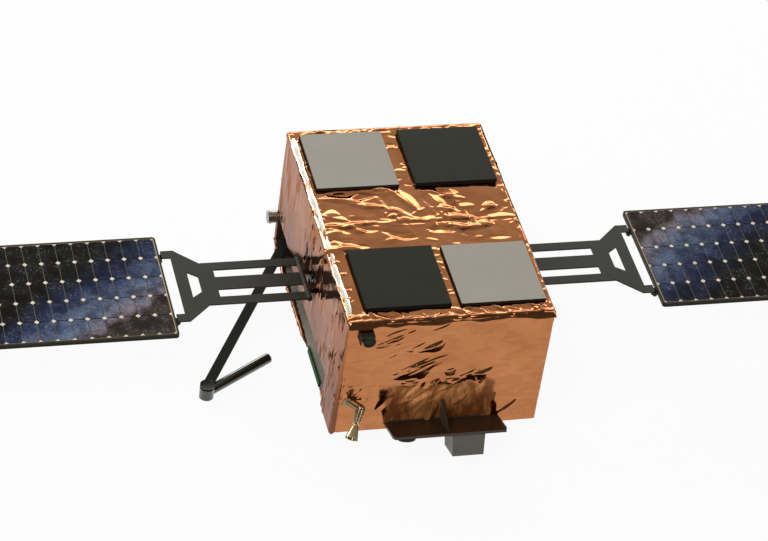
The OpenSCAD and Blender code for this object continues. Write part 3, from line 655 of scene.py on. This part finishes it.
class SATELLITE_OT_top_foil(SatelliteOperator, bpy.types.Operator):
    """Lay the top sheet of foil with its folds and its turned-down hem"""
    bl_idname = "satellite.top_foil"
    bl_label = "Top foil"

    def make(self, scene):
        s = scene.satellite_foil
        half = BODY_SIZE[:2] / 2
        over = s.edge * (math.pi / 2 - 1)
        low = -half - (over + 0.008, over + s.hem)
        high = half + over + 0.010
        counts = [int(size / s.grid) + 1 for size in high - low]
        u, v = np.meshgrid(*(np.linspace(a, b, n) for a, b, n in zip(low, high, counts)),
                           indexing="ij")
        wave = 1.0 + 0.45 * lattice_noise(u, v * 0.2, 0.035, s.seed)
        past = np.clip(-half[1] - v, 0.0, None)
        x, drop_x, turn_x = turned_edge(u, half[0], s.edge, math.pi / 2)
        y, drop_y, turn_y = turned_edge(v - past * (wave - 1.0), half[1], s.edge,
                                        np.where(v < 0, 0.95, math.pi / 2))
        height = self.relief(u, v, half, s)
        normal = np.stack([np.sin(turn_x), np.sin(turn_y),
                           np.cos(turn_x) * np.cos(turn_y)], axis=-1)
        normal /= np.linalg.norm(normal, axis=-1, keepdims=True)
        points = np.stack([BODY_MID[0] + x, BODY_MID[1] + y,
                           BODY_HIGH[2] - np.maximum(drop_x, drop_y)], axis=-1)
        points = (points + normal * height[..., None]).reshape(-1, 3)
        foil_sheet("top_foil", points, grid_faces(*counts), ["top"], high - low)

    def relief(self, u, v, half, s):
        """Heights of the sheet: clusters of creases across the body, a seam with its tape
        tabs, long creases in the middle, and flat places under the antennas."""
        rng = np.random.default_rng(s.seed)
        deep = half[1]
        height = 0.0015 * lattice_noise(u, v, 0.10, s.seed + 3)
        height += 0.0004 * lattice_noise(u, v, 0.035, s.seed + 2)
        long_one, slope = (0.018, 0.050), (0.14, 0.30)
        zones = (
            # count, low, high, angle, fan, half-length, width, slope
            (40, (-0.24, -0.35), (0.24, 0.35), 0.3, 0.9, (0.03, 0.08), (0.02, 0.035),
             (0.02, 0.06)),
            (24, (-0.235, -0.10), (-0.05, 0.125), -0.15, 0.24, long_one, (0.010, 0.024), slope),
            (24, (0.05, -0.10), (0.24, 0.125), 0.0, 0.24, long_one, (0.010, 0.022), slope),
            (10, (-0.08, -0.10), (0.07, 0.12), 0.1, 0.5, (0.012, 0.03), (0.005, 0.010), slope),
            (8, (-0.10, -0.04), (0.10, 0.10), 1.9, 0.2, (0.06, 0.10), (0.008, 0.016),
             (0.10, 0.20)),
            (12, (-0.02, 0.13), (0.025, 0.35), 0.05, 0.2, (0.014, 0.026), (0.006, 0.011), slope),
            (12, (0.0, -0.33), (0.03, -0.11), -0.1, 0.3, (0.012, 0.022), (0.005, 0.010), slope),
            (46, (0.232, -0.36), (0.25, 0.36), 1.2, 0.5, (0.008, 0.018), (0.004, 0.008), slope),
            (60, (-0.25, -0.36), (-0.225, 0.36), 0.2, 0.8, (0.008, 0.018), (0.004, 0.008),
             slope),
            (34, (-0.24, 0.338), (0.24, 0.362), 0.1, 0.3, (0.010, 0.034), (0.005, 0.010), slope),
            (46, (-0.24, -0.360), (0.24, -0.332), -0.55, 0.35, (0.012, 0.030), (0.006, 0.011),
             slope),
        )
        for zone in zones:
            add_creases(height, u, v, scatter(rng, *zone))
        seam = [(-0.20 + 0.058 * k, -0.008 + rng.uniform(-0.006, 0.006), rng.normal(0.0, 0.08),
                 0.045, 0.015, 0.0034, 0.3, 0.0) for k in range(8)]
        crest = [(-0.22 + 0.063 * k, 0.006 - deep, rng.normal(0.0, 0.03), 0.042, 0.009, 0.0034,
                  0.2, 0.0) for k in range(8)]
        # long folds that run from the left edge and from the rear antennas to the seam
        long_folds = [(-0.175, 0.088, -0.22, 0.060, 0.016, 0.0040, 0.1, 0.10),
                      (-0.120, 0.058, -0.30, 0.052, 0.014, 0.0036, 0.0, -0.10),
                      (-0.045, 0.030, -0.60, 0.050, 0.014, 0.0030, 0.0, 0.0),
                      (-0.010, 0.070, -1.15, 0.058, 0.020, 0.0032, 0.1, 0.0),
                      (0.058, 0.062, -1.15, 0.062, 0.018, 0.0034, 0.2, 0.05),
                      (0.105, 0.058, -1.10, 0.060, 0.016, 0.0030, 0.1, 0.05)]
        add_creases(height, u, v, seam + crest + long_folds)
        height += 0.0012 * np.clip((-0.016 - v) / 0.003, 0.0, 1.0)
        for tab_u in (0.035, 0.135):
            tab = (np.abs(u - tab_u) < 0.008) & (np.abs(v + 0.016) < 0.016)
            height = np.where(tab, 0.0030, height)
        pressed = np.ones_like(u)
        for name in ("rear_left", "rear_right", "front_left", "front_right"):
            low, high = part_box("antenna_" + name)
            mid, size = (low + high) / 2, (high - low) / 2
            far = np.maximum(np.abs(u + BODY_MID[0] - mid[0]) - size[0],
                             np.abs(v + BODY_MID[1] - mid[1]) - size[1])
            pressed = np.minimum(pressed, np.clip((far + 0.003) / 0.008, 0.0, 1.0))
        return np.clip(height, -0.004, 0.006) * pressed - 0.0012 * (1.0 - pressed)


class SATELLITE_OT_wall_foil(SatelliteOperator, bpy.types.Operator):
    """Wrap the four walls in two sheets of foil, cut out for the boom's bay and the yokes"""
    bl_idname = "satellite.wall_foil"
    bl_label = "Wall foil"

    def make(self, scene):
        s = scene.satellite_foil
        wide, deep, _ = BODY_SIZE
        self.sheet("left_front_foil", wide, 2 * wide + deep, s.grid, ("left", "front"), s)
        self.sheet("right_back_foil", 2 * wide + deep, 3 * wide + 2 * deep, s.grid * 1.3,
                   ("right", "back"), s)

    def sheet(self, name, start, end, grid, sides, s):
        """One sheet, from start to end round the body's outline."""
        tall = BODY_SIZE[2]
        counts = (int((end - start) / grid) + 1, int(tall / grid) + 1)
        u, v = np.meshgrid(np.linspace(start, end, counts[0]),
                           np.linspace(0.001, tall - 0.003, counts[1]), indexing="ij")
        around = 2 * (BODY_SIZE[0] + BODY_SIZE[1])
        u = np.where(u >= around, u - around, u)
        place, normal = self.wrap(u, s.edge)
        height = self.relief(u, v, s) + self.flare(u, v, s)
        xy = place + normal * height[..., None]
        points = np.concatenate([xy, (BODY_LOW[2] + v)[..., None]], axis=-1)
        keep = self.uncut(points)
        points, faces = used_only(points.reshape(-1, 3), grid_faces(*counts, keep=keep))
        foil_sheet(name, points, faces, sides, (end - start, tall))

    def wrap(self, u, radius):
        """Place and outward normal of the point a distance u round the body's outline, which
        starts at the rear right corner and goes round by the back, left, front and right."""
        wide, deep, _ = BODY_SIZE
        legs = ((wide, (wide / 2, deep / 2), (-1, 0), (0, 1)),
                (deep, (-wide / 2, deep / 2), (0, -1), (-1, 0)),
                (wide, (-wide / 2, -deep / 2), (1, 0), (0, -1)),
                (deep, (wide / 2, -deep / 2), (0, 1), (1, 0)))
        place = np.zeros((*u.shape, 2))
        normal = np.zeros((*u.shape, 2))
        start = 0.0
        for index, (size, corner, along, outward) in enumerate(legs):
            t = u - start
            here = (t >= 0) & (t <= size)
            spot = np.array(corner) + t[..., None] * np.array(along)
            face = np.broadcast_to(np.array(outward, float), spot.shape).copy()
            before = np.array(legs[index - 1][3], float)
            after = np.array(legs[(index + 1) % 4][3], float)
            for gap, other in ((t, before), (size - t, after)):
                lean = np.clip((radius - gap) / radius, 0.0, 1.0)[..., None]
                face += other * lean
                spot -= (np.array(outward) + other) * radius * 0.29 * lean ** 2
            place[here] = spot[here]
            normal[here] = (face / np.linalg.norm(face, axis=-1, keepdims=True))[here]
            start += size
        return place + BODY_MID[:2], normal

    def flare(self, u, v, s):
        """The left side's foil stands out at its foot, in front of the boom's bay."""
        wide, deep, tall = BODY_SIZE
        y = deep / 2 - (u - wide)
        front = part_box("boom_bay")[0][1]
        on_left = (u >= wide) & (u <= wide + deep)
        ahead = np.clip((front + 0.004 - y) / 0.03, 0.0, 1.0)
        return np.where(on_left, s.flare * (1.0 - v / tall) * ahead, 0.0)

    def relief(self, u, v, s):
        """Heights of the walls' foil. Each wall's creases lie in its own measure t from its
        left end."""
        rng = np.random.default_rng(s.seed + 1)
        wide, deep, tall = BODY_SIZE
        back, left, front, right = np.cumsum([0.0, wide, deep, wide])
        height = 0.0011 * lattice_noise(u, v, 0.11, s.seed + 31)
        height += 0.0003 * lattice_noise(u, v, 0.04, s.seed + 32)
        thin, mild = (0.0035, 0.008), (0.12, 0.3)
        upright = math.pi / 2
        zones = (
            # count, low, high, angle, fan, half-length, width, slope
            (40, (left, 0.0), (left + deep, tall), upright, 0.10, (0.03, 0.10),
             (0.007, 0.016), (0.06, 0.18)),
            (26, (left + 0.28, 0.16), (left + 0.46, 0.33), upright, 0.18, (0.014, 0.04), thin,
             (0.3, 0.7)),
            (26, (left + 0.48, 0.02), (left + 0.72, 0.24), upright, 0.22, (0.012, 0.035), thin,
             (0.25, 0.65)),
            (26, (front, 0.0), (front + wide, tall), 0.5, 0.4, (0.03, 0.08), (0.008, 0.018),
             (0.03, 0.10)),
            (26, (front + 0.11, 0.03), (front + 0.34, 0.14), 0.95, 0.3, (0.02, 0.055),
             (0.006, 0.014), mild),
            (70, (right, 0.0), (right + deep, tall), upright, 0.25, (0.03, 0.09), thin,
             (0.15, 0.35)),
            (60, (back, 0.0), (back + wide, tall), 0.8, 0.5, (0.02, 0.07), thin, mild),
        )
        for zone in zones:
            add_creases(height, u, v, scatter(rng, *zone))
        add_creases(height, u, v, self.slashes(rng, front))
        add_creases(height, u, v, self.puckers(rng, front + wide / 2))
        return np.clip(height, -0.004, 0.007)

    def slashes(self, rng, front):
        """Short deep creases on the front whose upper facets are steep."""
        rows = []
        zones = ((14, (0.030, 0.185), (0.235, 0.320), 0.48, 0.10, (0.034, 0.060)),
                 (8, (0.100, 0.140), (0.35, 0.170), 0.18, 0.30, (0.016, 0.036)),
                 (3, (0.24, 0.165), (0.36, 0.19), 0.4, 0.1, (0.016, 0.026)),
                 (2, (0.428, 0.050), (0.434, 0.058), 0.78, 0.05, (0.040, 0.044)))
        for count, low, high, turn, fan, half in zones:
            for _ in range(count):
                rows.append((front + rng.uniform(low[0], high[0]), rng.uniform(low[1], high[1]),
                             turn + rng.normal(0.0, fan), rng.uniform(*half),
                             rng.uniform(0.013, 0.019), rng.uniform(0.0030, 0.0040), -0.68,
                             rng.normal(0.0, 0.10)))
        return rows

    def puckers(self, rng, middle):
        """Creases that gather round the thruster's root."""
        root_u, root_v = middle + BODY_LOW[0] + 0.024, 0.100
        rows = []
        for k in range(7):
            turn = k * 2 * math.pi / 7 + rng.uniform(-0.15, 0.15)
            far = rng.uniform(0.026, 0.036)
            rows.append((root_u + far * math.cos(turn), root_v + far * math.sin(turn), turn,
                         rng.uniform(0.014, 0.022), 0.008, 0.003, 0.0, 0.0))
        return rows

    def uncut(self, points):
        """False inside the cut-outs for the boom's bay and the yokes' brackets."""
        x, y, z = points[..., 0], points[..., 1], points[..., 2]
        wavy = 0.0022 * lattice_noise(y + z, y - z, 0.016, 5)
        keep = np.ones(x.shape, bool)
        bay_low, bay_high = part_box("boom_bay")
        wall = 0.002
        root = bay_high[1] - BAY_ROOT
        tall = np.where(y > root, bay_high[2], bay_low[2] + BAY_CHANNEL)
        inside = (y > bay_low[1] + wall + wavy) & (y < bay_high[1] - wall + wavy)
        inside &= (z > bay_low[2] + wall + 0.002 + wavy) & (z < tall - wall + wavy)
        keep &= ~(inside & (x < BODY_LOW[0] + CUT_DEPTH))
        for side, sign in SIDES.items():
            low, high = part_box(side + "_root_bracket")
            hole = (np.abs(y) < BRACKET_HALF) & (z > low[2] - 0.001) & (z < high[2] + 0.001)
            keep &= ~(hole & (x * sign > BODY_SIZE[0] / 2 - CUT_DEPTH))
        return keep


class SATELLITE_OT_foil_rolls(SatelliteOperator, bpy.types.Operator):
    """Roll up the foil's edges at the top left edge and under the boom's bay"""
    bl_idname = "satellite.foil_rolls"
    bl_label = "Rolled foil edges"

    def make(self, scene):
        s = scene.satellite_foil
        left, top = BODY_LOW[0], BODY_HIGH[2]
        front, rear = BODY_LOW[1], BODY_HIGH[1]
        crumpled_roll("top_left_roll", (left + 0.010, front + 0.004, top - 0.002),
                      (left + 0.010, rear - 0.002, top - 0.002), (0.0105, 0.0055), 0.08,
                      bpy.data.materials["rim_foil"], s.seed + 60)
        board_low, board_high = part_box("side_board")
        level = BODY_LOW[2] + 0.005
        for name, start, end in (("rear_lip_roll", board_high[1] + 0.012, rear - 0.01),
                                 ("front_lip_roll", front + 0.065, board_low[1] - 0.006)):
            crumpled_roll(name, (left - 0.003, start, level), (left - 0.003, end, level),
                          (0.008, 0.0055), 0.28, bpy.data.materials["copper_foil"], s.seed + 61)


class SATELLITE_OT_bottom_foil(SatelliteOperator, bpy.types.Operator):
    """Lay the bottom sheet of foil round the launch ring"""
    bl_idname = "satellite.bottom_foil"
    bl_label = "Bottom foil"

    def make(self, scene):
        s = scene.satellite_foil
        half = BODY_SIZE[:2] / 2 - 0.001
        counts = [int(2 * r / (s.grid * 1.6)) + 1 for r in half]
        u, v = np.meshgrid(*(np.linspace(-r, r, n) for r, n in zip(half, counts)), indexing="ij")
        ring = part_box("adapter_ring")[1][0] + 0.002
        away = np.hypot(u, v)
        height = 0.0015 * lattice_noise(u, v, 0.06, s.seed + 41)
        rng = np.random.default_rng(s.seed + 40)
        add_creases(height, u, v, scatter(rng, 90, -half, half, 0.7, 0.9, (0.02, 0.09),
                                          (0.006, 0.012), (0.15, 0.35)))
        edge = np.minimum(half[0] - np.abs(u), half[1] - np.abs(v))
        height *= np.clip(edge / 0.02, 0.0, 1.0) * np.clip((away - ring) / 0.02, 0.0, 1.0)
        points = np.stack([u + BODY_MID[0], v + BODY_MID[1], BODY_LOW[2] + 0.002 - height * 0.5],
                          axis=-1).reshape(-1, 3)
        faces = grid_faces(*counts, keep=away > ring)[:, ::-1]
        points, faces = used_only(points, faces)
        flat = 2 * half
        foil_sheet("bottom_foil", points, faces, ["bottom"], flat,
                   area=float(flat[0] * flat[1] - math.pi * ring ** 2))


class SATELLITE_OT_antennas(SatelliteOperator, bpy.types.Operator):
    """Finish the flat antennas on top"""
    bl_idname = "satellite.antennas"
    bl_label = "Flat antennas"

    def make(self, scene):
        s = scene.satellite_finish
        light = painted("light_plate", tuple(s.light_plate), 0.55, gloss=0.12, wear=0.06,
                        cloudy=0.25, side=(0.030, 0.022, 0.014))
        dark = painted("dark_plate", tuple(s.dark_plate), 0.5, gloss=0.08, wear=0.25)
        for name, material in (("rear_left", light), ("front_right", light),
                               ("rear_right", dark), ("front_left", dark)):
            finish_node("antenna_" + name, material)


class SATELLITE_OT_solar_wings(SatelliteOperator, bpy.types.Operator):
    """Fill each solar panel with its cells, tabs and bed"""
    bl_idname = "satellite.solar_wings"
    bl_label = "Solar wings"

    def make(self, scene):
        s = scene.satellite_wing
        frame_paint = painted("panel_frame", (0.024, 0.021, 0.014), 0.45, gloss=0.1)
        tab = painted("cell_tab", tuple(s.tab), 0.35)
        trim = painted("cell_trim", tuple(s.trim), 0.4)
        for side in SIDES:
            for place in ("inner", "outer"):
                node = f"{side}_{place}_panel"
                finish_node(node, frame_paint)
                self.panel(node, f"{side}_{place}_body", SIDES[side], s, tab, trim)

    def panel(self, node, body, side, s, tab, trim):
        low, high, floor = self.field(node, s)
        pitch = (high - low) / (s.columns, s.rows)
        cells = cell_finish(node + "_cell", s, side, pitch, low)
        bed = bed_finish(node + "_bed", s, side, pitch, low)
        xs = low[0] + pitch[0] * np.arange(s.columns)
        ys = low[1] + pitch[1] * np.arange(s.rows)
        outlines = [self.cell((x, y), pitch, s) for x in xs for y in ys]
        prisms(node + "_cells", outlines, floor + 0.0003, floor + 0.00062, body,
               cells)
        sheet = [np.array([low, (high[0], low[1]), high, (low[0], high[1])])]
        prisms(node + "_bed", sheet, floor - 0.0001, floor + 0.0002, body, bed)
        corners = [(low[0] + pitch[0] * i, low[1] + pitch[1] * j)
                   for i in range(s.columns + 1) for j in range(s.rows + 1)]
        tabs = [self.tab(np.array(c), low, high, s) for c in corners]
        prisms(node + "_tabs", tabs, floor + 0.0001, floor + 0.00066, body, tab)
        self.trim(node, body, side, low, high, floor, trim)

    def trim(self, node, body, side, low, high, floor, material):
        """Line round the cells, thickest on the side towards the satellite's body."""
        thin, thick = 0.0006, 0.0021
        left, right = (thick, thin) if side > 0 else (thin, thick)
        bars = ((low[0] - left, low[1] - thin, low[0], high[1] + thin),
                (high[0], low[1] - thin, high[0] + right, high[1] + thin),
                (low[0], low[1] - thin, high[0], low[1]),
                (low[0], high[1], high[0], high[1] + thin))
        outlines = [np.array([(a, b), (c, b), (c, d), (a, d)]) for a, b, c, d in bars]
        prisms(node + "_trim", outlines, floor + 0.0007, floor + 0.00102, body,
               material)

    def field(self, node, s):
        """The cell field's corners and the pocket's floor height."""
        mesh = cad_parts[node].data
        points = np.array([v.co for v in mesh.vertices])
        low, high = points.min(axis=0)[:2], points.max(axis=0)[:2]
        flat = points[np.abs(points[:, 1]) > high[1] - 0.02]
        x_low, x_high = flat[:, 0].min() + s.border, flat[:, 0].max() - s.border
        floor = flat[:, 2].max() - POCKET
        return (np.array([x_low, low[1] + s.border]), np.array([x_high, high[1] - s.border]),
                floor)

    def cell(self, corner, pitch, s):
        """Outline of one cell: a rectangle with its corners cut off."""
        w, h = pitch - s.gap
        x, y = np.array(corner) + s.gap / 2
        c = s.corner
        return np.array([(x + c, y), (x + w - c, y), (x + w, y + c), (x + w, y + h - c),
                         (x + w - c, y + h), (x + c, y + h), (x, y + h - c), (x, y + c)])

    def tab(self, centre, low, high, s):
        """Diamond where cells meet, kept within the cell field."""
        r = s.corner + s.gap * 0.1
        diamond = centre + r * np.array([(-1, 0), (0, -1), (1, 0), (0, 1)])
        return np.clip(diamond, low, high)


def prisms(name, outlines, bottom, top, body, material):
    """One piece made of many flat prisms that share their heights."""
    points, faces = [], []
    for outline in outlines:
        n, first = len(outline), len(points)
        points += [(x, y, bottom) for x, y in outline] + [(x, y, top) for x, y in outline]
        faces.append([first + n + k for k in range(n)])
        faces += [(first + k, first + (k + 1) % n, first + n + (k + 1) % n, first + n + k)
                  for k in range(n)]
    return piece(name, points, faces, body, material)


class SATELLITE_OT_arms(SatelliteOperator, bpy.types.Operator):
    """Finish the yokes, their brackets and the boom"""
    bl_idname = "satellite.arms"
    bl_label = "Yokes and boom"

    def make(self, scene):
        s = scene.satellite_finish
        paint = painted("arm_paint", tuple(s.arm), 0.45, gloss=0.15)
        for node in ("left_yoke", "right_yoke"):
            finish_node(node, paint)
        boom_paint = painted("boom_paint", tuple(c * 0.45 for c in s.arm), 0.5, gloss=0.06)
        for node in ("boom_bar", "boom_bracket"):
            finish_node(node, boom_paint)
        bronze = bare_metal("bracket_bronze", (0.060, 0.036, 0.024), 0.38)
        for side in SIDES:
            finish_node(side + "_root_bracket", bronze)
        finish_node("boom_rod", painted("rod_gloss", tuple(c * 0.6 for c in s.arm), 0.14,
                                        gloss=0.6, coat=0.8))
        # painted shade: the bay's tall rear part in dark brown
        finish_node("boom_bay", painted("bay_paint", tuple(s.bay), 0.5,
                                        rear=(0.040, 0.023, 0.013)))


class SATELLITE_OT_thruster(SatelliteOperator, bpy.types.Operator):
    """Finish the thruster's pipe and nozzle"""
    bl_idname = "satellite.thruster"
    bl_label = "Thruster"

    def make(self, scene):
        brass = bare_metal("polished_brass", tuple(scene.satellite_finish.brass), 0.09)
        bronze = tuple(c * 0.55 for c in scene.satellite_finish.brass)
        finish_node("thruster_pipe", bare_metal("pipe_bronze", bronze, 0.16))
        finish_node("thruster_nozzle", brass)


class SATELLITE_OT_sensors(SatelliteOperator, bpy.types.Operator):
    """Finish the sensor shelf and the sensors"""
    bl_idname = "satellite.sensors"
    bl_label = "Sensors"

    def make(self, scene):
        s = scene.satellite_finish
        # painted highlight: the shelf's upright faces in a lighter tone than its top
        shelf = painted("shelf_paint", tuple(s.shelf), 0.34, gloss=0.2,
                        side=(0.070, 0.058, 0.044))
        finish_node("sensor_shelf", shelf)
        finish_node("shelf_fin", shelf)
        finish_node("camera_box", painted("camera_paint", tuple(s.camera), 0.4))
        black = painted("sensor_black", (0.036, 0.030, 0.020), 0.4, gloss=0.1)
        for node in ("sun_sensor", "sensor_hood", "round_sensor"):
            finish_node(node, black)
        finish_node("rear_canister", bare_metal("canister_metal", (0.34, 0.32, 0.29), 0.3))
        finish_node("side_board", painted("board_green", tuple(s.board), 0.5, gloss=0.05))


class SATELLITE_OT_structure(SatelliteOperator, bpy.types.Operator):
    """Finish the structure panels and the launch ring"""
    bl_idname = "satellite.structure"
    bl_label = "Structure and ring"

    def make(self, scene):
        tone = tuple(scene.satellite_finish.metal)
        skin = bare_metal("panel_skin", tone, 0.35, (1.0, 30.0, 1.0))
        for name in SKINS:
            finish_node(name + "_panel", skin)
        finish_node("equipment_block", skin)
        finish_node("adapter_ring", bare_metal("ring_metal", tone, 0.3))


OPERATORS = (SATELLITE_OT_stage, SATELLITE_OT_structure, SATELLITE_OT_top_foil,
             SATELLITE_OT_wall_foil, SATELLITE_OT_foil_rolls, SATELLITE_OT_bottom_foil,
             SATELLITE_OT_antennas, SATELLITE_OT_solar_wings, SATELLITE_OT_arms,
             SATELLITE_OT_thruster, SATELLITE_OT_sensors)
GROUPS = {"satellite_foil": FoilSettings, "satellite_wing": WingSettings,
          "satellite_finish": FinishSettings, "satellite_stage": StageSettings}


class SATELLITE_PT_panel(bpy.types.Panel):
    """Lists the satellite's operators in the sidebar"""
    bl_idname = "SATELLITE_PT_panel"
    bl_label = "Small satellite"
    bl_space_type = "VIEW_3D"
    bl_region_type = "UI"
    bl_category = "Satellite"

    def draw(self, context):
        for operator in OPERATORS:
            self.layout.operator(operator.bl_idname)


def register():
    for cls in (*GROUPS.values(), *OPERATORS, SATELLITE_PT_panel):
        bpy.utils.register_class(cls)
    for name, group in GROUPS.items():
        setattr(bpy.types.Scene, name, PointerProperty(type=group))


def unregister():
    for name in GROUPS:
        delattr(bpy.types.Scene, name)
    for cls in (SATELLITE_PT_panel, *reversed(OPERATORS), *reversed(tuple(GROUPS.values()))):
        bpy.utils.unregister_class(cls)


def main():
    """Builds the whole visual model."""
    register()
    foil_finish(bpy.context.scene.satellite_foil)
    rim_finish()
    for operator in OPERATORS:
        getattr(bpy.ops.satellite, operator.bl_idname.split(".")[1])()


if __name__ == "__main__":
    main()
